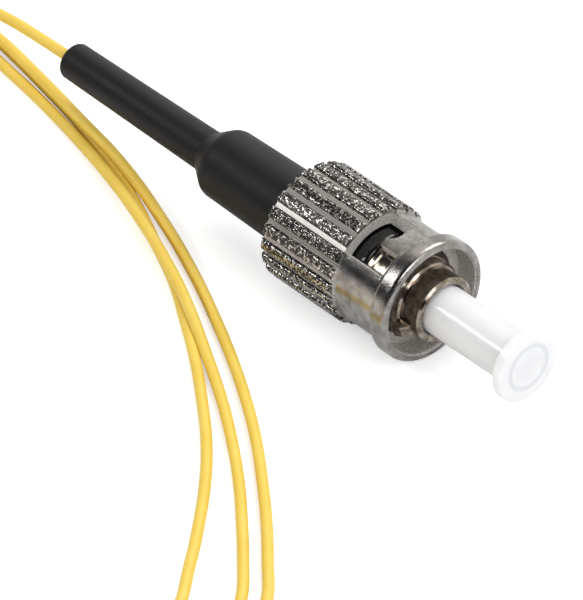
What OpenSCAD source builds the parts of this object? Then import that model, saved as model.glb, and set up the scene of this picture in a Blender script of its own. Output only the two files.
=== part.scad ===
// ST bayonet fibre connector on a 0.9 mm pigtail, capped.
// Millimetres. The axis runs along X, the dust cap points to +X, +Z is up.
// Origin: on the axis, on the front face of the ferrule holder.

/* [Ferrule and fibre] */
// Ferrule diameter
ferrule_d = 2.5; // [2:0.05:3]
// Ferrule length in front of its holder
ferrule_reach = 8.8; // [7:0.1:11]
// Depth of the ferrule in its holder
ferrule_seat_depth = 4; // [2:0.1:5]
// Chamfer at the tip of the ferrule
ferrule_chamfer = 0.35; // [0.1:0.05:0.5]
// Diameter of the bare glass fibre
glass_d = 0.125; // [0.1:0.005:0.2]
// Diameter of the coated fibre
coating_d = 0.25; // [0.22:0.01:0.4]
// Length of the coated fibre behind the ferrule
coating_len = 0.6; // [0.4:0.1:1]
// Diameter of the ferrule holder
holder_d = 3.8; // [3.4:0.05:4]
// Length of the ferrule holder
holder_len = 6.4; // [5.5:0.1:7]

/* [Barrel] */
// Outer diameter of the front sleeve
sleeve_d = 5.4; // [5:0.05:5.6]
// Reach of the front sleeve past the ferrule holder
sleeve_reach = 4.1; // [3.5:0.05:5]
// Bore of the front sleeve
sleeve_bore_d = 4.16; // [4.1:0.01:4.4]
// Diameter of the shoulder behind the sleeve
shoulder_d = 6; // [5.8:0.05:6.2]
// Place of the shoulder's front face
shoulder_x = 2.35; // [2:0.05:2.8]
// Diameter of the middle section
waist_d = 6.4; // [6.2:0.05:6.5]
// Place where the middle section ends
waist_x = 1.2; // [0.8:0.05:1.6]
// Diameter of the spring flange
flange_d = 6.6; // [6.4:0.05:6.8]
// Thickness of the spring flange
flange_t = 0.7; // [0.5:0.05:1]
// Place of the spring flange's rear face
flange_x = -1.75; // [-2:0.05:-1.5]
// Diameter of the rear spigot
spigot_d = 4.8; // [4.6:0.05:5]
// Height of the key above the sleeve's axis
key_r = 3.6; // [3.2:0.05:3.8]
// Width of the key
key_w = 1.1; // [0.8:0.05:1.4]
// Length of the key
key_len = 1; // [0.8:0.05:1.4]
// Direction of the key about the axis
key_angle = 202; // [180:1:225]
// Diameter of the barbed tail
tail_d = 4.3; // [4:0.05:4.5]
// Length of the barbed tail
tail_len = 3.6; // [3:0.1:4.5]
// Number of barbs on the tail
barbs = 3; // [2:1:4]

/* [Spring and stops] */
// Length of the black thrust ring
ring_len = 1.5; // [1.2:0.05:1.6]
// Diameter of the black thrust ring
ring_d = 6.7; // [6.4:0.05:6.9]
// Wire diameter of the spring
wire_d = 0.5; // [0.4:0.02:0.55]
// Mean diameter of the spring
coil_d = 6; // [5.9:0.05:6.3]
// Number of turns of the spring
coil_turns = 4; // [3:0.5:4]
// Length of the spring at rest
spring_len = 4.2; // [4:0.05:5]
// Thickness of the rear washer
washer_t = 0.3; // [0.2:0.05:0.4]
// Diameter of the rear washer
washer_d = 6.8; // [6.5:0.05:7]
// Thickness of the retaining clip
clip_t = 0.5; // [0.4:0.05:0.6]
// Outer diameter of the retaining clip
clip_d = 6; // [5.6:0.05:6.2]
// Gap of the open clip
clip_gap = 2.4; // [1.5:0.1:3]
// Depth of the clip's groove
clip_groove = 0.45; // [0.3:0.05:0.5]
// Length of the spigot behind the clip
clip_margin = 0.4; // [0.3:0.05:0.5]

/* [Coupling nut] */
// Place of the nut's front face
nut_front = 2.85; // [2.7:0.05:3]
// Overall length of the nut
nut_len = 13.55; // [13:0.05:14.5]
// Diameter over the reeds
reed_crest_d = 9.9; // [9.8:0.05:10]
// Diameter at the foot of the reeds
reed_floor_d = 9.1; // [9:0.02:9.2]
// Number of reeds
reeds = 22; // [20:1:24]
// Width of one reed
reed_w = 0.96; // [0.8:0.02:1]
// Rounding of a reed's shoulders
reed_round = 0.26; // [0.2:0.01:0.3]
// Direction of the first reed about the axis
reed_angle = 94.7; // [88:0.1:104]
// Length of the reeded grip
grip_len = 7.85; // [7:0.05:8.2]
// Diameter of the smooth middle
neck_d = 9; // [8.9:0.05:9.1]
// Diameter of the front ring
rim_d = 10; // [9.9:0.05:10.2]
// Length of the front ring with its fillet
rim_len = 1.95; // [1.8:0.05:2.3]
// Diameter of the front counterbore
mouth_d = 8.7; // [8.65:0.05:8.8]
// Depth of the front counterbore
mouth_depth = 2; // [1.8:0.05:2.1]
// Main bore of the nut
nut_bore_d = 7.1; // [7:0.02:7.3]
// Thickness of the inner flange
nut_flange_t = 0.8; // [0.6:0.05:1]
// Bore of the rear opening, round the boot
tail_bore_d = 6.5; // [6.4:0.05:7]

/* [Bayonet slots] */
// Place of the slots' rear wall behind the nut's front
slot_back = 5.95; // [5.8:0.05:6.1]
// Axial width of the cross slot
slot_w = 2.12; // [1.9:0.02:2.2]
// Start of the entry channel about the axis
entry_from = 112; // [108:1:114]
// End of the entry channel about the axis
entry_to = 138; // [137:1:142]
// Closed end of the slot about the axis
slot_end = 70; // [66:1:72]
// Place of the detent pocket about the axis
pocket_angle = 92.5; // [90:0.5:94]
// Radius of the detent pocket
pocket_r = 0.9; // [0.85:0.01:0.95]
// Depth of the detent past the cross slot
pocket_depth = 0.62; // [0.5:0.02:0.7]

/* [Boot] */
// Diameter of the boot inside the nut
boot_front_d = 6.06; // [6:0.02:6.2]
// Diameter of the grip at its rear
boot_grip_d = 5.7; // [5.4:0.05:5.9]
// Length of the boot's thick grip
boot_grip_len = 9.4; // [8:0.1:14]
// Length of the slope between grip and tail
boot_slope_len = 1.7; // [1.2:0.1:3]
// Diameter of the tail next to the slope
boot_tail_d = 3.33; // [3:0.05:3.8]
// Diameter of the tail's end
boot_end_d = 2.97; // [2.6:0.05:3.2]
// Length of the boot's thin tail
boot_tail_len = 15.8; // [12:0.1:20]

/* [Dust cap] */
// Outer diameter of the cap's tube
cap_tube_d = 4; // [3.9:0.02:4.05]
// Length of the tube in front of the barrel
cap_tube_reach = 8.15; // [7:0.05:10]
// Length of the tube inside the barrel
cap_insert = 3.9; // [3:0.1:4.05]
// Diameter of the cap's flange
cap_flange_d = 5.85; // [5.5:0.05:6.4]
// Thickness of the cap's flange
cap_flange_t = 0.85; // [0.6:0.05:1.2]
// Thickness of the cap's end wall
cap_end_t = 1.2; // [0.8:0.1:2]

/* [Buffered fibre] */
// Diameter of the buffered fibre
buffer_d = 0.9; // [0.8:0.05:1]
// Mean radius of the small coil
small_coil_r = 8; // [7.5:0.1:8.1]

/* [Fits] */
// Gap of a running fit, on the radius
run_gap = 0.06; // [0.04:0.01:0.1]
// Gap of a glued or pressed fit, on the radius
seat_gap = 0.02; // [0.01:0.005:0.04]

/* [Hidden] */

$fn = 64;
past = 0.5;            // how far a cutter runs past a face
edge = 0.15;           // small edge break on turned parts
coil_columns = 3;      // turns of the small coil side by side
coil_layers = 3;       // and on each other

// Places along the axis, worked out from the ferrule holder's front face at 0.
holder_rear = -holder_len;
lead_in_front = -ferrule_seat_depth - coating_len;
ring_rear = flange_x - ring_len;
spring_rear = ring_rear - spring_len;
washer_rear = spring_rear - washer_t;
nut_flange_rear = washer_rear - nut_flange_t;
clip_rear = nut_flange_rear - clip_t;
spigot_rear = clip_rear - clip_margin;
tail_rear = spigot_rear - tail_len;
nut_rear = nut_front - nut_len;
boot_front = spigot_rear;
boot_grip_rear = nut_rear - boot_grip_len;
boot_slope_rear = boot_grip_rear - boot_slope_len;
boot_rear = boot_slope_rear - boot_tail_len;
cap_back = sleeve_reach - cap_insert;
cap_flange_back = sleeve_reach + cap_tube_reach;
cap_front = cap_flange_back + cap_flange_t;
floor_z = -rim_d / 2;

// Bores that follow the pieces in them.
ferrule_bore_r = ferrule_d / 2 + seat_gap;
holder_bore_r = holder_d / 2 + seat_gap;
buffer_bore_r = buffer_d / 2 + run_gap;
lead_in_r = buffer_bore_r + 0.35;
lead_in_bore_r = lead_in_r + seat_gap;

// Turns a profile of [radius, x] points about the X axis.
module turned(profile) {
    rotate([0, 90, 0]) rotate_extrude() polygon(profile);
}

// A ring about the X axis between two radii and two places along it.
module tube(r_in, r_out, x_from, x_to) {
    turned([[r_in, x_from], [r_out, x_from], [r_out, x_to], [r_in, x_to]]);
}

// A wedge of a ring, its angles counted from +Y towards +Z.
module sector(r_in, r_out, x_from, x_to, a_from, a_to) {
    rotate([0, 90, 0])
        rotate_extrude(start = a_from + 90, angle = a_to - a_from)
            polygon([[r_in, x_from], [r_out, x_from], [r_out, x_to], [r_in, x_to]]);
}

// Turns its children, drawn along +Y, to an angle about the axis.
module aimed(angle) {
    rotate([angle, 0, 0]) children();
}

module dust_cap() {
    r = cap_tube_d / 2;
    bore_r = ferrule_bore_r;
    lip = 0.12;
    color("whitesmoke") difference() {
        turned([[0, cap_back], [r - lip, cap_back], [r, cap_back + 2 * lip],
                [r, cap_flange_back], [cap_flange_d / 2 - lip, cap_flange_back],
                [cap_flange_d / 2, cap_flange_back + lip], [cap_flange_d / 2, cap_front - lip],
                [cap_flange_d / 2 - lip, cap_front], [0, cap_front]]);
        tube(0, bore_r, cap_back - past, cap_front - cap_end_t);
        turned([[0, cap_back - lip], [bore_r + 2 * lip, cap_back - lip],
                [bore_r, cap_back + 2 * lip], [0, cap_back + 2 * lip]]);
    }
}

module ferrule() {
    r = ferrule_d / 2;
    glass_r = glass_d / 2 + seat_gap / 2;
    coat_r = coating_d / 2 + seat_gap;
    funnel = 1;
    color("ivory") turned([
        [glass_r, -ferrule_seat_depth + funnel], [coat_r, -ferrule_seat_depth],
        [r, -ferrule_seat_depth], [r, ferrule_reach - ferrule_chamfer],
        [r - ferrule_chamfer, ferrule_reach], [glass_r, ferrule_reach]]);
}

module ferrule_holder() {
    r = holder_d / 2;
    color("silver") turned([
        [lead_in_bore_r, holder_rear], [r - edge, holder_rear], [r, holder_rear + edge],
        [r, -edge], [r - edge, 0], [ferrule_bore_r, 0], [ferrule_bore_r, -ferrule_seat_depth],
        [coating_d / 2 + seat_gap, -ferrule_seat_depth],
        [coating_d / 2 + seat_gap, lead_in_front], [lead_in_bore_r, lead_in_front]]);
}

// Bare glass up to the ferrule's tip, and the coated stretch behind it.
module stripped_fibre() {
    strip_x = -ferrule_seat_depth;
    color("lightcyan") union() {
        tube(0, coating_d / 2, lead_in_front, strip_x);
        tube(0, glass_d / 2, strip_x - past, ferrule_reach);
    }
}

module barrel() {
    sleeve_r = sleeve_d / 2;
    shoulder_r = shoulder_d / 2;
    waist_r = waist_d / 2;
    flange_r = flange_d / 2;
    spigot_r = spigot_d / 2;
    tail_r = tail_d / 2;
    groove_r = spigot_r - clip_groove;
    barb_pitch = tail_len / (barbs + 0.5);
    color("silver") difference() {
        union() {
            turned([
                [0, tail_rear], [tail_r - 0.3, tail_rear], [tail_r - 0.15, tail_rear + 0.4],
                [tail_r - 0.15, spigot_rear], [spigot_r - edge, spigot_rear],
                [spigot_r, spigot_rear + edge], [spigot_r, flange_x],
                [flange_r - edge, flange_x], [flange_r, flange_x + edge],
                [flange_r, flange_x + flange_t - edge], [flange_r - edge, flange_x + flange_t],
                [waist_r, flange_x + flange_t], [waist_r, waist_x - edge],
                [waist_r - edge, waist_x], [shoulder_r, waist_x],
                [shoulder_r, shoulder_x - edge], [shoulder_r - edge, shoulder_x],
                [sleeve_r, shoulder_x], [sleeve_r, sleeve_reach - edge],
                [sleeve_r - edge, sleeve_reach], [0, sleeve_reach]]);
            for (i = [1 : barbs])
                turned([[0, tail_rear + i * barb_pitch], [tail_r, tail_rear + i * barb_pitch],
                        [tail_r - 0.2, tail_rear + (i - 0.7) * barb_pitch],
                        [0, tail_rear + (i - 0.7) * barb_pitch]]);
            aimed(key_angle) key();
        }
        tube(0, sleeve_bore_d / 2, 0, sleeve_reach + past);
        turned([[0, sleeve_reach - 0.12], [sleeve_bore_d / 2, sleeve_reach - 0.12],
                [sleeve_bore_d / 2 + 0.22, sleeve_reach + 0.1], [0, sleeve_reach + 0.1]]);
        tube(0, holder_bore_r, holder_rear, past);
        tube(0, lead_in_bore_r, tail_rear - past, holder_rear + past);
        tube(groove_r, spigot_r + past, clip_rear - seat_gap, nut_flange_rear + seat_gap);
    }
}

// The locating key: a block with a round nose, standing off the sleeve along +Y.
module key() {
    foot = sleeve_d / 2 - 0.4;
    intersection() {
        translate([shoulder_x - 0.3, foot, -key_w / 2])
            cube([key_len + 0.3, key_r - foot, key_w]);
        translate([shoulder_x + key_len - 1.6, key_r - 1.6, -key_w])
            cylinder(r = 1.6, h = 2 * key_w);
    }
}

// The smooth black ring between the flange and the spring.
module thrust_ring() {
    r = ring_d / 2;
    bore_r = spigot_d / 2 + run_gap;
    crown = 0.32;
    color([0.06, 0.06, 0.06]) rotate([0, 90, 0]) rotate_extrude() union() {
        translate([bore_r, ring_rear]) square([r - crown - bore_r, ring_len]);
        translate([bore_r, ring_rear + crown]) square([r - bore_r, ring_len - 2 * crown]);
        for (x = [ring_rear + crown, flange_x - crown])
            translate([r - crown, x]) circle(r = crown, $fn = 32);
    }
}

// One turn after another: the wire's rings are placed along a helix by a function.
module coupling_spring() {
    wire_r = wire_d / 2;
    sides = 10;
    steps = 28;
    rings = coil_turns * steps;
    lift = (spring_len - wire_d) / rings;
    function wire_point(i, k) = let (
        turn = 360 * i / steps,
        swing = 360 * k / sides,
        out = coil_d / 2 + wire_r * cos(swing))
        [spring_rear + wire_r + i * lift + wire_r * sin(swing), out * cos(turn), out * sin(turn)];
    points = [for (i = [0 : rings]) for (k = [0 : sides - 1]) wire_point(i, k)];
    color("silver") swept(points, rings, sides);
}

// Joins rings of points into a closed tube with flat ends.
module swept(points, rings, sides) {
    skin = [for (i = [0 : rings - 1]) for (k = [0 : sides - 1]) let (n = (k + 1) % sides)
        [i * sides + k, i * sides + n, (i + 1) * sides + n, (i + 1) * sides + k]];
    start = [for (k = [sides - 1 : -1 : 0]) k];
    finish = [for (k = [0 : sides - 1]) rings * sides + k];
    polyhedron(points, concat([start], skin, [finish]), convexity = 10);
}

module thrust_washer() {
    color("silver") tube(spigot_d / 2 + run_gap, washer_d / 2, washer_rear, spring_rear);
}

module retaining_clip() {
    r_in = spigot_d / 2 - clip_groove + seat_gap;
    color("dimgray") difference() {
        tube(r_in, clip_d / 2, clip_rear, nut_flange_rear);
        translate([clip_rear - past, -clip_gap / 2, -clip_d])
            cube([clip_t + 2 * past, clip_gap, clip_d]);
    }
}

module lead_in_tube() {
    color("white") tube(buffer_bore_r, lead_in_r, tail_rear, lead_in_front);
}

module coupling_nut() {
    color("lightgray") difference() {
        union() {
            intersection() {
                reeded_bar();
                grip_envelope();
            }
            rim_body();
        }
        nut_bores();
        for (half = [0, 180]) aimed(half) bayonet_slot();
    }
}

// The bar that the grip is cut from: flat reeds with round shoulders, narrow grooves between.
module reeded_bar() {
    rotate([0, 90, 0]) translate([0, 0, nut_rear]) linear_extrude(grip_len + 0.1) union() {
        circle(d = reed_floor_d, $fn = 96);
        for (i = [0 : reeds - 1]) rotate(i * 360 / reeds + reed_angle + 90) reed_outline();
    }
}

// One reed's cross section, standing out along the first axis.
module reed_outline() {
    crest = reed_crest_d / 2;
    root = reed_floor_d / 2 - 0.3;
    half = reed_w / 2 - reed_round;
    translate([root, -half]) square([crest - root, 2 * half]);
    translate([root, -reed_w / 2]) square([crest - reed_round - root, reed_w]);
    for (side = [-half, half]) translate([crest - reed_round, side])
        circle(r = reed_round, $fn = 32);
}

// Chamfers both ends of the grip.
module grip_envelope() {
    crest = reed_crest_d / 2 + 0.01;
    neck = neck_d / 2;
    grip_front = nut_rear + grip_len;
    turned([[0, nut_rear], [crest - 0.15, nut_rear], [crest, nut_rear + 0.15],
            [crest, grip_front - 0.5], [neck, grip_front], [0, grip_front]]);
}

// The smooth neck and the flared ring in front of it.
module rim_body() {
    neck = neck_d / 2;
    rim = rim_d / 2;
    fillet = 0.6;
    round_over = 0.4;
    rim_rear = nut_front - rim_len;
    rotate([0, 90, 0]) rotate_extrude() difference() {
        union() {
            translate([0, nut_rear + 1]) square([neck, nut_len - 1.5]);
            translate([0, rim_rear]) square([rim, rim_len - round_over]);
            translate([0, rim_rear]) square([rim - round_over, rim_len]);
            translate([rim - round_over, nut_front - round_over]) circle(r = round_over, $fn = 48);
        }
        translate([neck + fillet, rim_rear]) circle(r = fillet, $fn = 48);
    }
}

module nut_bores() {
    mouth = mouth_d / 2;
    tube(0, nut_bore_d / 2, washer_rear, nut_front);
    tube(0, spigot_d / 2 + run_gap, nut_rear - past, nut_front);
    tube(0, tail_bore_d / 2, nut_rear - past, nut_flange_rear);
    tube(0, mouth, nut_front - mouth_depth, nut_front + past);
    turned([[0, nut_front - 0.3], [mouth - 0.05, nut_front - 0.3],
            [mouth + 0.15, nut_front + 0.1], [0, nut_front + 0.1]]);
}

// Entry channel, cross slot and detent pocket of one side.
module bayonet_slot() {
    r_in = nut_bore_d / 2 - 0.2;
    r_out = rim_d / 2 + past;
    back = nut_front - slot_back;
    cross_front = back + slot_w;
    sector(r_in, r_out, back, nut_front - rim_len, entry_from, entry_to);
    sector(r_in, r_out, back, cross_front, slot_end, entry_from + 1);
    sector(r_in, r_out, back, cross_front + pocket_depth - 0.12, slot_end, pocket_angle + 1);
    translate([cross_front + pocket_depth - pocket_r, 0, 0]) aimed(pocket_angle)
        rotate([-90, 0, 0]) translate([0, 0, r_in]) cylinder(r = pocket_r, h = r_out - r_in);
}

module boot() {
    grip_r = boot_grip_d / 2;
    tail_r = boot_tail_d / 2;
    end_r = boot_end_d / 2;
    soft = 0.25;
    socket_r = tail_d / 2 + seat_gap;
    color([0.17, 0.17, 0.18]) difference() {
        turned([
            [0, boot_rear], [end_r - soft, boot_rear], [end_r - 0.08, boot_rear + 0.08],
            [end_r, boot_rear + soft], [tail_r, boot_slope_rear],
            [tail_r + 0.12, boot_slope_rear + 0.2], [grip_r - 0.3, boot_grip_rear - 0.35],
            [grip_r - 0.08, boot_grip_rear], [grip_r, boot_grip_rear + 0.35],
            [boot_front_d / 2, nut_rear], [boot_front_d / 2, boot_front - soft],
            [boot_front_d / 2 - soft, boot_front], [0, boot_front]]);
        tube(0, socket_r, tail_rear, boot_front + past);
        tube(0, buffer_bore_r, boot_rear - past, tail_rear + past);
    }
}

// The stretch of the buffered fibre that the boot and the barrel hold.
module inner_buffer() {
    color([0.9, 0.78, 0.35]) tube(0, buffer_d / 2, boot_rear, lead_in_front);
}

// Route of the free fibre from the boot down to the table and round the first turn.
lead_route = [
    [boot_rear, 0, 0], [-39, 0, -0.05], [-41, 0, -0.25], [-44, 0, -0.9], [-47.5, 0, -1.85],
    [-51, -0.05, -2.85], [-54.5, -0.1, -3.8], [-57, -0.1, -4.35], [-59.2, -0.4, -4.55],
    [-61.8, -1.4, -4.55], [-63.9, -3.1, -4.55], [-65.6, -5.3, -4.55], [-66.6, -7.8, -4.55],
    [-67, -10.5, -4.55], [-66.6, -13.2, -4.55], [-65.6, -15.8, -4.55], [-63.9, -17.9, -4.55],
    [-61.8, -19.6, -4.55]];

// Middle of the loops seen from above, with the half width of the bundle.
loop_route = [
    [-55.2, 1.7, 1.35], [-60.7, 1.1, 1.35], [-65.5, -2.1, 1.35], [-68.3, -6.9, 1.35],
    [-68.7, -12.6, 1.35], [-66.5, -17.7, 1.35], [-61.1, -21.4, 1.8], [-39.8, -29.7, 2.4],
    [-18.4, -38, 3], [3, -46.2, 3.6], [6.8, -47, 3.6], [11.7, -45.7, 3.6], [15.3, -42.1, 3.6],
    [16.6, -37.2, 3.6], [15.6, -32.8, 3.6], [10.6, -27, 3.2], [4.2, -20.7, 2.5],
    [-3.2, -15.1, 2.1], [-11.8, -10, 1.6], [-20.2, -6.2, 1.5], [-28.4, -3.5, 1.3],
    [-36, -1.6, 1.1], [-44.2, 0, 1.2], [-50.3, 1, 1.35]];

// Middle of the hump where runs of the loops lie on each other.
hump_route = [
    [-52, 1.2, 0.5], [-41.4, -0.2, 0.5], [-32, -2.5, 0.8], [-25.5, -4.7, 1], [-18, -7.8, 0.8],
    [-13.2, -10.1, 0.6], [-8, -12.7, 0.5]];
small_coil_at = [-56.5, -10.5];

module buffer_lead() {
    color([0.9, 0.78, 0.35]) cord_tube(lead_route, buffer_d / 2, 8);
}

// A tube along a route: each ring stands square to the line between its neighbours.
module cord_tube(route, r, sides) {
    last = len(route) - 1;
    function along(i) = let (d = route[min(i + 1, last)] - route[max(i - 1, 0)]) d / norm(d);
    points = [for (i = [0 : last]) let (
            t = along(i),
            side = cross(t, [0, 0, 1]) / norm(cross(t, [0, 0, 1])),
            up = cross(side, t))
        for (k = [0 : sides - 1]) let (a = 360 * (k + 0.5) / sides)
            route[i] + r * (cos(a) * side + sin(a) * up)];
    swept(points, last, sides);
}

module buffer_loops() {
    color([0.9, 0.78, 0.35]) translate([0, 0, floor_z]) union() {
        linear_extrude(buffer_d) band(concat(loop_route, [loop_route[0]]));
        linear_extrude(2 * buffer_d) band(hump_route);
    }
}

// A flat band whose middle and half width follow a route.
module band(route) {
    for (i = [0 : len(route) - 2]) hull()
        for (stop = [route[i], route[i + 1]])
            translate([stop[0], stop[1]]) circle(r = stop[2], $fn = 20);
}

module buffer_coil() {
    width = coil_columns * buffer_d;
    color([0.9, 0.78, 0.35]) translate([small_coil_at[0], small_coil_at[1], floor_z])
        rotate_extrude($fn = 96)
            translate([small_coil_r - width / 2, 0]) square([width, coil_layers * buffer_d]);
}

dust_cap();
ferrule();
ferrule_holder();
stripped_fibre();
barrel();
thrust_ring();
coupling_spring();
thrust_washer();
coupling_nut();
retaining_clip();
lead_in_tube();
boot();
inner_buffer();
buffer_lead();
buffer_loops();
buffer_coil();
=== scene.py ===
# ST fibre connector with its pigtail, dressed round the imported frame. Blender 4.5, metres.
import math

import bpy
from mathutils import Matrix, Vector


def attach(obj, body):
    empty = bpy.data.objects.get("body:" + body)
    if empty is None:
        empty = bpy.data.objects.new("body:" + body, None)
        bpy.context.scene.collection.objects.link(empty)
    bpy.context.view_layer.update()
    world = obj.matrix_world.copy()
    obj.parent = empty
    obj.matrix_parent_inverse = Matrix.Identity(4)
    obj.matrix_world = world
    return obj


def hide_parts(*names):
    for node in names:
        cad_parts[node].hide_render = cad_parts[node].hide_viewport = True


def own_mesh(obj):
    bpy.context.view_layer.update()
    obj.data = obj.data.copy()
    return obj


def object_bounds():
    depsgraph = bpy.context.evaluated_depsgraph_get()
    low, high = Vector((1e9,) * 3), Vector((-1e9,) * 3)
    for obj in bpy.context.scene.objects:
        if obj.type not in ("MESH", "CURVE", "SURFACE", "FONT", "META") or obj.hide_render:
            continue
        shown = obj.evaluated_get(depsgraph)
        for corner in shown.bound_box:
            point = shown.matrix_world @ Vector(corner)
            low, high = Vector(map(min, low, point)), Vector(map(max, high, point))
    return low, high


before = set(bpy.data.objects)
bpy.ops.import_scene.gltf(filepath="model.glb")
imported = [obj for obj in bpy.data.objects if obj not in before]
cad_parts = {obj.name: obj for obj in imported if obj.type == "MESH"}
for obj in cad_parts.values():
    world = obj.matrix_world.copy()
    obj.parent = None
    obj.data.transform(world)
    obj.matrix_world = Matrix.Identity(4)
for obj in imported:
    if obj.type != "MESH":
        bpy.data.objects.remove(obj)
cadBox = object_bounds()
mm = 0.001
print("frame loaded")


def srgb(hexCode, alpha=1.0):  # "#rrggbb" to linear
    values = [int(hexCode[i:i + 2], 16) / 255 for i in (1, 3, 5)]
    linear = [v / 12.92 if v <= 0.04045 else ((v + 0.055) / 1.055) ** 2.4 for v in values]
    return (*linear, alpha)


def newMaterial(name):
    material = bpy.data.materials.new(name)
    material.use_nodes = True
    material.node_tree.nodes.clear()
    output = addNode(material, "ShaderNodeOutputMaterial")
    return material, output


def addNode(material, kind, settings=None, inputs=None, links=None):
    # settings: node properties; inputs: socket values; links: socket name to (node, socket)
    tree = material.node_tree
    node = tree.nodes.new(kind)
    for key, value in (settings or {}).items():
        setattr(node, key, value)
    for key, value in (inputs or {}).items():
        node.inputs[key].default_value = value
    for key, (source, socket) in (links or {}).items():
        tree.links.new(source.outputs[socket], node.inputs[key])
    return node


def dress(nodeName, material):  # gives a CAD node its finish
    piece = bpy.data.objects[nodeName]
    if not piece.material_slots:
        piece.data.materials.append(material)
    for slot in piece.material_slots:
        slot.material = material


def setRamp(ramp, low, dark, high, light):  # a colour ramp's two ends: position, hex, position, hex
    first, last = ramp.color_ramp.elements[0], ramp.color_ramp.elements[1]
    first.position, first.color = low, srgb(dark)
    last.position, last.color = high, srgb(light)


view = {
    "place": (373.517, -341.775, 397.143),  # mm
    "looks": (-0.588542, 0.520669, -0.618483),
    "rollDeg": -0.57,
    "lens": 540.4,
}


def addCamera():
    data = bpy.data.cameras.new("camera")
    data.sensor_fit = "HORIZONTAL"
    data.sensor_width = 36
    data.lens = view["lens"]
    data.clip_start = 0.01
    data.clip_end = 10
    ahead = Vector(view["looks"]).normalized()
    right = ahead.cross(Vector((0, 0, 1))).normalized()
    up = right.cross(ahead)
    roll = math.radians(view["rollDeg"])
    right, up = (math.cos(roll) * right + math.sin(roll) * up,
                 -math.sin(roll) * right + math.cos(roll) * up)
    turn = Matrix((right, up, -ahead)).transposed().to_4x4()
    camera = bpy.data.objects.new("camera", data)
    camera.matrix_world = Matrix.Translation(Vector(view["place"]) * mm) @ turn
    bpy.context.scene.collection.objects.link(camera)
    bpy.context.scene.camera = camera


addCamera()
print("camera set")


# Buffered fibre: one 0.9 mm cord, declared as 1 m; the route below comes to 1.06 m. All in mm.
fibre = {
    "diameter": 0.9,
    "length": 1000,
    "floor": -4.55,  # its middle when it lies on the table
    "exit": (-37.6, 0, 0),
    "leftTurn": (-56.5, -10.5),
    "rightTurn": (6.8, -37.2),
    "leftRadii": (10.5, 13.2, 12.3),  # of the turns at each end, one for each run
    "rightRadii": (6.65, 13.0, 11.1),
    "returnAngle": 247,  # where the turns meet the straight return side, degrees
    "coilRadii": (8.9, 8.0, 7.1),
    "coilStart": 320,
    "coilTurns": 7.3,
}
# Stretches listed one by one in mm: from the boot to the table, then the three runs across the
# view.
leadRun = [(-37.6, 0, 0), (-39, 0, 0), (-41.5, 0, -0.05), (-44.5, 0, -0.2), (-47.5, 0, -0.6),
           (-50.5, 0, -1.3), (-53.5, 0, -2.2), (-56.5, -0.02, -3.1), (-59.4, -0.45, -3.9),
           (-62, -1.5, -4.4)]
lowRun = [(9.0, -29.2), (6.0, -25.7), (2.8, -22.3), (-0.6, -19.2), (-4.4, -16.3), (-8.2, -13.6),
          (-12.3, -11.0), (-16.5, -8.5), (-21.0, -6.4), (-25.7, -4.3), (-30.6, -2.5), (-36.0, -1.0),
          (-41.8, 0.2), (-47.4, 1.2)]
rightRun = [(15.7, -27.8), (12.5, -24.9), (9.1, -22.0), (5.5, -19.2), (1.8, -16.5), (-2.1, -14.0),
            (-6.3, -11.6), (-11.2, -9.1), (-16.4, -6.7), (-22.2, -4.5), (-29.0, -2.6),
            (-35.2, -1.4), (-41.4, -0.2), (-47.4, 0.8)]
middleRun = [(14.4, -29.1), (11.3, -26.2), (7.9, -23.3), (4.4, -20.5), (0.6, -17.8), (-3.3, -15.3),
             (-8.0, -12.7), (-13.2, -10.1), (-18.0, -8.0), (-23.0, -6.1), (-28.4, -4.3),
             (-34.2, -2.6), (-40.2, -1.3), (-45.6, -0.5)]
rightLift = {-11.2: 0.0, -16.4: 0.0, -22.2: 0.2, -29.0: 0.75, -35.2: 0.87, -41.4: 0.87, -47.4: 0.8}
middleLift = {-8.0: 0.25, -13.2: 0.82, -18.0: 0.9, -23.0: 0.88, -28.4: 0.66, -34.2: 0.2}


def arcPoints(centre, radius, startDeg, endDeg, count):  # on the table, counter-clockwise
    steps = [math.radians(startDeg + (endDeg - startDeg) * i / (count - 1)) for i in range(count)]
    return [(centre[0] + radius * math.cos(a), centre[1] + radius * math.sin(a), fibre["floor"])
            for a in steps]


def between(start, end, parts):  # evenly spaced points inside a straight stretch
    return [tuple(s + (e - s) * i / parts for s, e in zip(start, end)) for i in range(1, parts)]


def raised(run, lifts):  # a run across the view, with its humps over the runs below
    return [(x, y, fibre["floor"] + lifts.get(x, 0)) for x, y in run]


def smallCoil():
    # turns side by side, then the next layer back over them
    perTurn = 14
    stayPart, movePart = 0.7, 0.3  # of each turn: in place, then over to the next one
    places = []
    for layer in range(3):
        radii = fibre["coilRadii"] if layer % 2 == 0 else fibre["coilRadii"][::-1]
        places += [(r, layer * fibre["diameter"]) for r in radii]
    centre = fibre["leftTurn"]
    points = []
    for i in range(int(fibre["coilTurns"] * perTurn)):
        turn, part = divmod(i / perTurn, 1)
        here, after = places[int(turn)], places[int(turn) + 1]
        blend = max(0.0, (part - stayPart) / movePart)
        blend = blend * blend * (3 - 2 * blend)
        r = here[0] + (after[0] - here[0]) * blend
        z = fibre["floor"] + here[1] + (after[1] - here[1]) * blend
        a = math.radians(fibre["coilStart"]) + 2 * math.pi * i / perTurn
        points.append((centre[0] + r * math.cos(a), centre[1] + r * math.sin(a), z))
    return points


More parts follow.
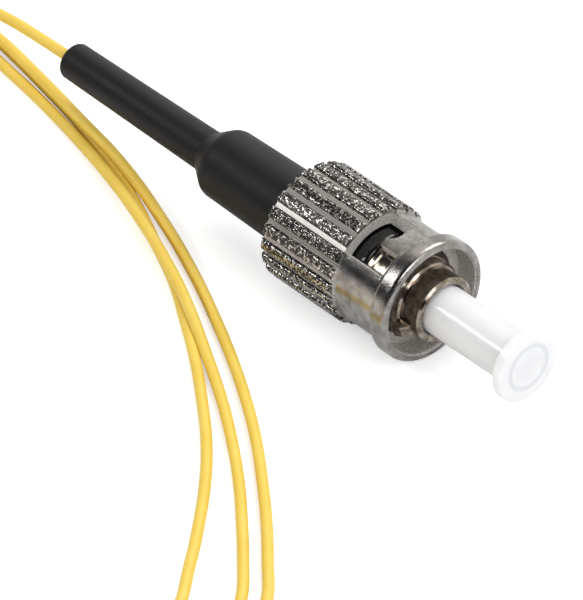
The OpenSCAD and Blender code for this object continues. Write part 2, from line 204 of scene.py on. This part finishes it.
def fibreRoute():
    left, right, handOver = fibre["leftTurn"], fibre["rightTurn"], fibre["returnAngle"]
    points = list(leadRun)
    starts = (135, 84, 84)  # where each left turn begins, degrees
    runs = (raised(lowRun, {}), raised(rightRun, rightLift), raised(middleRun, middleLift))
    for leftR, start, rightR, run in zip(fibre["leftRadii"], starts, fibre["rightRadii"], runs):
        turnIn = arcPoints(left, leftR, start, handOver, 7)
        turnBack = arcPoints(right, rightR, handOver, 385, 6)
        points += turnIn + between(turnIn[-1], turnBack[0], 6) + turnBack + run
    points += arcPoints(left, 11.4, 84, 215, 6)
    for angle, radius, lift in ((240, 11.0, 0.75), (265, 10.2, 0.8), (290, 9.4, 0.25)):
        a = math.radians(angle)
        points.append((left[0] + radius * math.cos(a), left[1] + radius * math.sin(a),
                       fibre["floor"] + lift))
    return points + smallCoil()


def layFibre():
    curve = bpy.data.curves.new("fibre", "CURVE")
    curve.dimensions = "3D"
    curve.bevel_depth = 1  # each point's radius then holds the real one
    curve.bevel_resolution = 4
    curve.resolution_u = 5
    curve.use_fill_caps = True
    route = fibreRoute()
    spline = curve.splines.new("BEZIER")
    spline.bezier_points.add(len(route) - 1)
    for point, place in zip(spline.bezier_points, route):
        point.co = Vector(place) * mm
        point.radius = fibre["diameter"] / 2 * mm
        point.handle_left_type = point.handle_right_type = "AUTO"
    piece = bpy.data.objects.new("pigtail_fibre", curve)
    bpy.context.scene.collection.objects.link(piece)
    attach(piece, "root")
    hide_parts("buffer_lead", "buffer_loops", "buffer_coil")
    return piece


fibrePiece = layFibre()
print("fibre laid")


spring = {
    "rear": -7.45,  # its ends and sizes in mm, as in the frame
    "front": -3.25,
    "meanRadius": 3.0,
    "wireRadius": 0.25,
    "turns": 4,
    "left": 0.6667,  # share of its length when the nut is pushed fully forward
}


def deselect():
    if bpy.context.mode != "OBJECT":
        bpy.ops.object.mode_set(mode="OBJECT")
    bpy.ops.object.select_all(action="DESELECT")


def windSpring():
    # one round of wire, wound along the axis by a screw, its two ends closed
    r = spring["wireRadius"] * mm
    rise = (spring["front"] - spring["rear"] - 2 * spring["wireRadius"]) * mm / spring["turns"]
    deselect()
    bpy.ops.mesh.primitive_circle_add(vertices=14, radius=r, fill_type="NOTHING",
                                      location=(spring["rear"] * mm + r,
                                                spring["meanRadius"] * mm, 0))
    coil = bpy.context.object
    coil.name = coil.data.name = "wound_spring"
    bpy.ops.object.transform_apply(location=True, rotation=True, scale=True)
    screw = coil.modifiers.new("wind", "SCREW")
    screw.axis = "X"
    screw.angle = 2 * math.pi
    screw.screw_offset = rise
    screw.iterations = spring["turns"]
    screw.steps = screw.render_steps = 40
    screw.use_merge_vertices = True
    screw.merge_threshold = 1e-6
    bpy.ops.object.modifier_apply(modifier=screw.name)
    bpy.ops.object.mode_set(mode="EDIT")
    bpy.ops.mesh.select_all(action="SELECT")
    bpy.ops.mesh.remove_doubles(threshold=1e-6)
    bpy.ops.mesh.select_all(action="DESELECT")
    bpy.ops.mesh.select_non_manifold(extend=False, use_boundary=True)
    bpy.ops.mesh.fill_holes(sides=0)
    bpy.ops.mesh.select_all(action="SELECT")
    bpy.ops.mesh.normals_make_consistent(inside=False)
    bpy.ops.object.mode_set(mode="OBJECT")
    bpy.ops.object.shade_smooth_by_angle(angle=math.radians(40))
    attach(coil, "root")
    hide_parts("coupling_spring")
    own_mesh(coil)
    return coil


springPiece = windSpring()
print("spring wound")


def inMillimetres(material):
    place = addNode(material, "ShaderNodeTexCoord")
    return addNode(material, "ShaderNodeVectorMath", {"operation": "SCALE"}, {"Scale": 1000.0},
                   {0: (place, "Object")})


def axisRadius(material, place):  # distance from the connector's axis in mm
    flat = addNode(material, "ShaderNodeVectorMath", {"operation": "MULTIPLY"}, {1: (0, 1, 1)},
                   {0: (place, 0)})
    return addNode(material, "ShaderNodeVectorMath", {"operation": "LENGTH"}, links={0: (flat, 0)})


def finish(material, output, shader):
    material.node_tree.links.new(shader.outputs[0], output.inputs["Surface"])
    return material


def platedCasting():
    # Nickel plate over a zinc die casting, tumbled: the outer faces of the grip have a pebbled bump
    # and carry painted reflection, bright plate with dark specks for mirrored dark room and white
    # glints; the grooves stay smooth and satin, and the mouth is grainy and pale.
    material, output = newMaterial("nickel-plated zinc casting")
    place = inMillimetres(material)
    split = addNode(material, "ShaderNodeSeparateXYZ", links={0: (place, 0)})
    radius = axisRadius(material, place)
    crest = addNode(material, "ShaderNodeMapRange", {"interpolation_type": "SMOOTHSTEP"},
                    {"From Min": 4.58, "From Max": 4.68}, {"Value": (radius, "Value")})
    grip = addNode(material, "ShaderNodeMapRange", inputs={"From Min": -2.9, "From Max": -3.1},
                   links={"Value": (split, "X")})
    inner = addNode(material, "ShaderNodeMapRange", {"interpolation_type": "SMOOTHSTEP"},
                    {"From Min": 4.46, "From Max": 4.38}, {"Value": (radius, "Value")})
    low = addNode(material, "ShaderNodeMath", {"operation": "SUBTRACT"}, {0: 1.0}, {1: (crest, 0)})
    groove = addNode(material, "ShaderNodeMath", {"operation": "MULTIPLY"},
                     links={0: (low, 0), 1: (grip, 0)})
    pebble = addNode(material, "ShaderNodeTexNoise",
                     inputs={"Scale": 5.0, "Detail": 3.0, "Roughness": 0.6},
                     links={"Vector": (place, 0)})  # 0.2 mm pebbles
    grit = addNode(material, "ShaderNodeTexNoise", inputs={"Scale": 12.0, "Detail": 2.0},
                   links={"Vector": (place, 0)})  # 0.08 mm grit
    blotch = addNode(material, "ShaderNodeTexNoise", inputs={"Scale": 0.9, "Detail": 3.0},
                     links={"Vector": (place, 0)})  # uneven plating, about 1 mm
    plate = addNode(material, "ShaderNodeValToRGB", links={"Fac": (blotch, 0)})
    setRamp(plate, 0.38, "#8D8A87", 0.62, "#B4B1AD")
    # painted reflection: dark specks on the grip's crests stand in for the dark room they mirror
    darkReflectionSpecks = addNode(material, "ShaderNodeMapRange", {"interpolation_type": "SMOOTHSTEP"},
                   {"From Min": 0.62, "From Max": 0.5}, {"Value": (pebble, 0)})
    onCrest = addNode(material, "ShaderNodeMath", {"operation": "MULTIPLY"},
                      links={0: (crest, 0), 1: (grip, 0)})
    crestDarkReflection = addNode(material, "ShaderNodeMath", {"operation": "MULTIPLY"},
                     links={0: (darkReflectionSpecks, 0), 1: (onCrest, 0)})
    # painted glint: the crests' plate is made brighter so that the dark specks read as reflections
    # between white glints
    crestGlintTone = addNode(material, "ShaderNodeMix", {"data_type": "RGBA"}, {"B": srgb("#DEDBD6")},
                     {"Factor": (onCrest, 0), "A": (plate, 0)})
    dark = addNode(material, "ShaderNodeMix", {"data_type": "RGBA"}, {"B": srgb("#454341")},
                   {"Factor": (crestDarkReflection, 0), "A": (crestGlintTone, "Result")})
    smooth = addNode(material, "ShaderNodeMix", {"data_type": "RGBA"}, {"B": srgb("#CBC8C3")},
                     {"Factor": (groove, 0), "A": (dark, "Result")})
    sandy = addNode(material, "ShaderNodeValToRGB", links={"Fac": (grit, 0)})
    setRamp(sandy, 0.4, "#A9A6A1", 0.6, "#EAE7E2")
    pale = addNode(material, "ShaderNodeMix", {"data_type": "RGBA"},
                   links={"Factor": (inner, 0), "A": (smooth, "Result"), "B": (sandy, 0)})
    dull = addNode(material, "ShaderNodeMath", {"operation": "MULTIPLY_ADD"}, {1: 0.55},
                   {0: (groove, 0), 2: (inner, 0)})
    gloss = addNode(material, "ShaderNodeMapRange", inputs={"To Min": 0.2, "To Max": 0.62},
                    links={"Value": (dull, 0)})
    grainy = addNode(material, "ShaderNodeMath", {"operation": "MAXIMUM"},
                     links={0: (onCrest, 0), 1: (inner, 0)})
    coarse = addNode(material, "ShaderNodeMapRange", inputs={"To Min": 0.2, "To Max": 1.0},
                     links={"Value": (grainy, 0)})
    coarse = addNode(material, "ShaderNodeMath", {"operation": "MULTIPLY"},
                     links={0: (pebble, 0), 1: (coarse, 0)})
    relief = addNode(material, "ShaderNodeMath", {"operation": "MULTIPLY_ADD"}, {1: 0.5},
                     {0: (grit, 0), 2: (coarse, 0)})
    even = addNode(material, "ShaderNodeMapRange", inputs={"To Min": 0.6, "To Max": 0.1},
                   links={"Value": (groove, 0)})
    rough = addNode(material, "ShaderNodeMath", {"operation": "MAXIMUM"},
                    links={0: (grainy, 0), 1: (even, 0)})
    outward = addNode(material, "ShaderNodeCombineXYZ", links={"X": (radius, "Value")})
    rings = addNode(material, "ShaderNodeTexNoise", inputs={"Scale": 4.0, "Detail": 1.0},
                    links={"Vector": (outward, 0)})  # cutter rings, 0.25 mm
    rings = addNode(material, "ShaderNodeMath", {"operation": "MULTIPLY"},
                    links={0: (rings, 0), 1: (inner, 0)})
    relief = addNode(material, "ShaderNodeMath", {"operation": "MULTIPLY_ADD"}, {1: 1.5},
                     {0: (rings, 0), 2: (relief, 0)})
    bump = addNode(material, "ShaderNodeBump", inputs={"Distance": 0.035 * mm},
                   links={"Height": (relief, 0), "Strength": (rough, 0)})
    sheen = addNode(material, "ShaderNodeMapRange", inputs={"To Min": 1.0, "To Max": 0.45},
                    links={"Value": (inner, 0)})  # the grainy mouth scatters like a matt surface
    shader = addNode(material, "ShaderNodeBsdfPrincipled",
                     links={"Base Color": (pale, "Result"), "Roughness": (gloss, 0),
                            "Metallic": (sheen, 0), "Normal": (bump, 0)})
    return finish(material, output, shader)


def turnedMetal(name, light, dark, gloss, lineMm):
    # Plated or bare turned metal: a clear gloss over fine tool lines that run round the axis.
    material, output = newMaterial(name)
    place = inMillimetres(material)
    radius = axisRadius(material, place)
    split = addNode(material, "ShaderNodeSeparateXYZ", links={0: (place, 0)})
    along = addNode(material, "ShaderNodeMath", {"operation": "ADD"},
                    links={0: (split, "X"), 1: (radius, "Value")})
    across = addNode(material, "ShaderNodeCombineXYZ", links={"X": (along, 0)})
    lines = addNode(material, "ShaderNodeTexNoise", inputs={"Scale": 1 / lineMm, "Detail": 2.0},
                    links={"Vector": (across, 0)})
    stain = addNode(material, "ShaderNodeTexNoise", inputs={"Scale": 1.6, "Detail": 3.0},
                    links={"Vector": (place, 0)})
    tint = addNode(material, "ShaderNodeValToRGB", links={"Fac": (stain, 0)})
    setRamp(tint, 0.35, dark, 0.65, light)
    bump = addNode(material, "ShaderNodeBump", inputs={"Strength": 0.7, "Distance": 0.02 * mm},
                   links={"Height": (lines, 0)})
    shader = addNode(material, "ShaderNodeBsdfPrincipled",
                     inputs={"Metallic": 1.0, "Roughness": gloss},
                     links={"Base Color": (tint, 0), "Normal": (bump, 0)})
    return finish(material, output, shader)


def mouldedElastomer():
    # Thermoplastic elastomer from a spark-eroded mould: near black, matt, with a very fine grain.
    material, output = newMaterial("moulded thermoplastic elastomer")
    place = inMillimetres(material)
    grain = addNode(material, "ShaderNodeTexNoise",
                    inputs={"Scale": 7.0, "Detail": 3.0, "Roughness": 0.7},
                    links={"Vector": (place, 0)})  # 0.14 mm, coarse enough to show
    cloud = addNode(material, "ShaderNodeTexNoise", inputs={"Scale": 0.5, "Detail": 2.0},
                    links={"Vector": (place, 0)})
    tone = addNode(material, "ShaderNodeValToRGB", links={"Fac": (grain, 0)})
    setRamp(tone, 0.3, "#0E0E11", 0.7, "#16161A")
    dull = addNode(material, "ShaderNodeMapRange", inputs={"To Min": 0.44, "To Max": 0.56},
                   links={"Value": (cloud, 0)})
    bump = addNode(material, "ShaderNodeBump", inputs={"Strength": 0.5, "Distance": 0.012 * mm},
                   links={"Height": (grain, 0)})
    shader = addNode(material, "ShaderNodeBsdfPrincipled",
                     inputs={"IOR": 1.48, "Specular IOR Level": 0.32},
                     links={"Base Color": (tone, 0), "Roughness": (dull, 0), "Normal": (bump, 0)})
    return finish(material, output, shader)


def milkyPolyethylene():
    # Low-density polyethylene, moulded: milky white that lets light through, waxy gloss. A faint
    # grey ring of painted shade on the flange's end face stands in for the tube's edge showing
    # through the thin flange.
    material, output = newMaterial("moulded low-density polyethylene")
    place = inMillimetres(material)
    split = addNode(material, "ShaderNodeSeparateXYZ", links={0: (place, 0)})
    radius = axisRadius(material, place)
    outer = addNode(material, "ShaderNodeMapRange", {"interpolation_type": "SMOOTHSTEP"},
                    {"From Min": 2.15, "From Max": 1.85}, {"Value": (radius, "Value")})
    centre = addNode(material, "ShaderNodeMapRange", {"interpolation_type": "SMOOTHSTEP"},
                     {"From Min": 1.45, "From Max": 1.8}, {"Value": (radius, "Value")})
    showThroughRing = addNode(material, "ShaderNodeMath", {"operation": "MULTIPLY"},
                   links={0: (outer, 0), 1: (centre, 0)})
    atEnd = addNode(material, "ShaderNodeMapRange", inputs={"From Min": 12.9, "From Max": 13.05},
                    links={"Value": (split, "X")})
    behind = addNode(material, "ShaderNodeMath", {"operation": "MULTIPLY"},
                     links={0: (showThroughRing, 0), 1: (atEnd, 0)})
    milk = addNode(material, "ShaderNodeTexNoise", inputs={"Scale": 0.6, "Detail": 2.0},
                   links={"Vector": (place, 0)})
    white = addNode(material, "ShaderNodeValToRGB", links={"Fac": (milk, 0)})
    setRamp(white, 0.3, "#F0F1F4", 0.7, "#F5F6F8")
    # painted shade: a faint grey ring on the flange's end face where the tube's edge would show
    # through
    seen = addNode(material, "ShaderNodeMix", {"data_type": "RGBA"}, {"B": srgb("#E0E2E6")},
                   {"Factor": (behind, 0), "A": (white, 0)})
    ripple = addNode(material, "ShaderNodeTexNoise", inputs={"Scale": 1.2, "Detail": 2.0},
                     links={"Vector": (place, 0)})
    bump = addNode(material, "ShaderNodeBump", inputs={"Strength": 0.25, "Distance": 0.02 * mm},
                   links={"Height": (ripple, 0)})
    shader = addNode(material, "ShaderNodeBsdfPrincipled",
                     inputs={"Roughness": 0.16, "IOR": 1.51, "Subsurface Weight": 0.8,
                             "Subsurface Radius": (1.0, 1.0, 1.0), "Subsurface Scale": 1.8 * mm},
                     links={"Base Color": (seen, "Result"), "Normal": (bump, 0)})
    return finish(material, output, shader)


def extrudedJacket():
    # Extruded PVC over the fibre: even warm yellow, satin, with a slight haze along its length.
    material, output = newMaterial("extruded yellow PVC")
    place = inMillimetres(material)
    haze = addNode(material, "ShaderNodeTexNoise", inputs={"Scale": 0.35, "Detail": 2.0},
                   links={"Vector": (place, 0)})
    tone = addNode(material, "ShaderNodeValToRGB", links={"Fac": (haze, 0)})
    setRamp(tone, 0.3, "#ECC84B", 0.7, "#F1D05A")
    skin = addNode(material, "ShaderNodeTexNoise", inputs={"Scale": 9.0, "Detail": 2.0},
                   links={"Vector": (place, 0)})  # 0.11 mm
    bump = addNode(material, "ShaderNodeBump", inputs={"Strength": 0.3, "Distance": 0.006 * mm},
                   links={"Height": (skin, 0)})
    shader = addNode(material, "ShaderNodeBsdfPrincipled",
                     inputs={"Roughness": 0.5, "IOR": 1.53, "Subsurface Weight": 0.15,
                             "Subsurface Radius": (1.0, 0.9, 0.4), "Subsurface Scale": 0.3 * mm},
                     links={"Base Color": (tone, 0), "Normal": (bump, 0)})
    return finish(material, output, shader)


def evenPlastic(name, light, dark, gloss, grainMm, depthMm):
    # Small solid parts: one colour with a slight cloud and a fine surface grain.
    material, output = newMaterial(name)
    place = inMillimetres(material)
    cloud = addNode(material, "ShaderNodeTexNoise", inputs={"Scale": 1 / grainMm, "Detail": 2.0},
                    links={"Vector": (place, 0)})
    tone = addNode(material, "ShaderNodeValToRGB", links={"Fac": (cloud, 0)})
    setRamp(tone, 0.35, dark, 0.65, light)
    bump = addNode(material, "ShaderNodeBump", inputs={"Strength": 0.4, "Distance": depthMm * mm},
                   links={"Height": (cloud, 0)})
    shader = addNode(material, "ShaderNodeBsdfPrincipled", inputs={"Roughness": gloss},
                     links={"Base Color": (tone, 0), "Normal": (bump, 0)})
    return finish(material, output, shader)


yellowJacket = extrudedJacket()
fibrePiece.data.materials.append(yellowJacket)
dress("inner_buffer", yellowJacket)
dress("coupling_nut", platedCasting())
dress("barrel", turnedMetal("nickel-plated turned brass", "#B5AB9F", "#74695E", 0.16, 0.16))
dress("ferrule_holder", turnedMetal("turned stainless steel", "#B4B1AC", "#9C9893", 0.26, 0.1))
drawnSteel = turnedMetal("drawn spring steel", "#A9A9A9", "#8B8A88", 0.3, 0.2)
springPiece.data.materials.append(drawnSteel)
dress("thrust_washer", drawnSteel)
dress("retaining_clip", drawnSteel)
dress("boot", mouldedElastomer())
dress("dust_cap", milkyPolyethylene())
dress("thrust_ring", evenPlastic("polished black acetal", "#101011", "#0B0B0C", 0.14, 0.8, 0.004))
dress("ferrule", evenPlastic("polished zirconia", "#F3EFE8", "#ECE7DE", 0.16, 0.9, 0.002))
dress("lead_in_tube", evenPlastic("extruded PTFE", "#F2F2F0", "#E8E8E6", 0.42, 0.5, 0.006))
dress("stripped_fibre", evenPlastic("acrylate-coated glass", "#E4F0F2", "#D8E8EC", 0.1, 0.3, 0.001))
print("finishes made")


stage = {
    "white": "#E9E9E9",
    "glow": 0.5,  # lifts the table to white for the camera
    "mirroredGlow": 0.02,  # and for what the metal mirrors
    "fill": 0.55,
    "darkSide": "#26282E",  # what polished metal mirrors in front and overhead
    "litSide": "#F2EFEA",  # and behind
}


def addStage():
    deselect()
    bpy.ops.mesh.primitive_plane_add(size=3, location=(0, 0, cadBox[0][2]))
    table = bpy.context.object
    table.name = table.data.name = "table"
    bpy.ops.object.transform_apply(location=True, rotation=True, scale=True)
    material, output = newMaterial("matt white table")
    rays = addNode(material, "ShaderNodeLightPath")
    mirrored = addNode(material, "ShaderNodeMath", {"operation": "MAXIMUM"},
                       links={0: (rays, "Is Glossy Ray"), 1: (rays, "Is Transmission Ray")})
    glow = addNode(material, "ShaderNodeMath", {"operation": "MULTIPLY"},
                   {1: stage["mirroredGlow"]},
                   {0: (mirrored, 0)})
    glow = addNode(material, "ShaderNodeMath", {"operation": "MULTIPLY_ADD"}, {1: stage["glow"]},
                   {0: (rays, "Is Camera Ray"), 2: (glow, 0)})
    shade = addNode(material, "ShaderNodeBsdfDiffuse", inputs={"Color": srgb(stage["white"])})
    light = addNode(material, "ShaderNodeEmission", links={"Strength": (glow, 0)})
    both = addNode(material, "ShaderNodeAddShader", links={0: (shade, 0), 1: (light, 0)})
    finish(material, output, both)
    table.data.materials.append(material)


def addLamp(name, place, size, power, aim=(-0.01, 0, 0)):
    data = bpy.data.lights.new(name, "AREA")
    data.shape = "RECTANGLE"
    data.size, data.size_y = size
    data.energy = power
    lamp = bpy.data.objects.new(name, data)
    lamp.location = place
    lamp.rotation_euler = (Vector(aim) - Vector(place)).to_track_quat("-Z", "Y").to_euler()
    bpy.context.scene.collection.objects.link(lamp)
    return lamp


def addWorld():
    # White to look at. Polished metal sees a room: a lit backdrop behind the object and low down,
    # and the dark side of the studio in front and overhead.
    world = bpy.data.worlds.new("studio")
    bpy.context.scene.world = world
    world.use_nodes = True
    world.node_tree.nodes.clear()
    output = addNode(world, "ShaderNodeOutputWorld")
    rays = addNode(world, "ShaderNodeLightPath")
    way = addNode(world, "ShaderNodeTexCoord")
    split = addNode(world, "ShaderNodeSeparateXYZ", links={0: (way, "Generated")})
    behind = addNode(world, "ShaderNodeMapRange", {"interpolation_type": "SMOOTHSTEP"},
                     {"From Min": -0.25, "From Max": 0.35}, {"Value": (split, "Y")})
    low = addNode(world, "ShaderNodeMapRange", {"interpolation_type": "SMOOTHSTEP"},
                  {"From Min": 0.05, "From Max": -0.03}, {"Value": (split, "Z")})
    lit = addNode(world, "ShaderNodeMath", {"operation": "MAXIMUM"},
                  links={0: (behind, 0), 1: (low, 0)})
    room = addNode(world, "ShaderNodeMix", {"data_type": "RGBA"},
                   {"A": srgb(stage["darkSide"]), "B": srgb(stage["litSide"])},
                   {"Factor": (lit, 0)})
    fill = addNode(world, "ShaderNodeBackground",
                   inputs={"Color": (1, 1, 1, 1), "Strength": stage["fill"]})
    mirrored = addNode(world, "ShaderNodeBackground", links={"Color": (room, "Result")})
    white = addNode(world, "ShaderNodeBackground", inputs={"Color": (1, 1, 1, 1)})
    glossy = addNode(world, "ShaderNodeMixShader",
                     links={0: (rays, "Is Glossy Ray"), 1: (fill, 0), 2: (mirrored, 0)})
    seen = addNode(world, "ShaderNodeMath", {"operation": "MAXIMUM"},
                   links={0: (rays, "Is Camera Ray"), 1: (rays, "Is Transmission Ray")})
    pick = addNode(world, "ShaderNodeMixShader",
                   links={0: (seen, 0), 1: (glossy, 0), 2: (white, 0)})
    world.node_tree.links.new(pick.outputs[0], output.inputs[0])


addStage()
addLamp("softbox_behind", (-0.1, 0.45, 0.55), (0.5, 0.35), 2.5)
addLamp("softbox_left", (-0.42, -0.41, 0.41), (0.4, 0.09), 1.1)
addLamp("softbox_front", (0.5, -0.1, 0.4), (0.35, 0.35), 1.5)
addWorld()
bpy.context.scene.view_settings.view_transform = "Standard"
print("stage and light set")
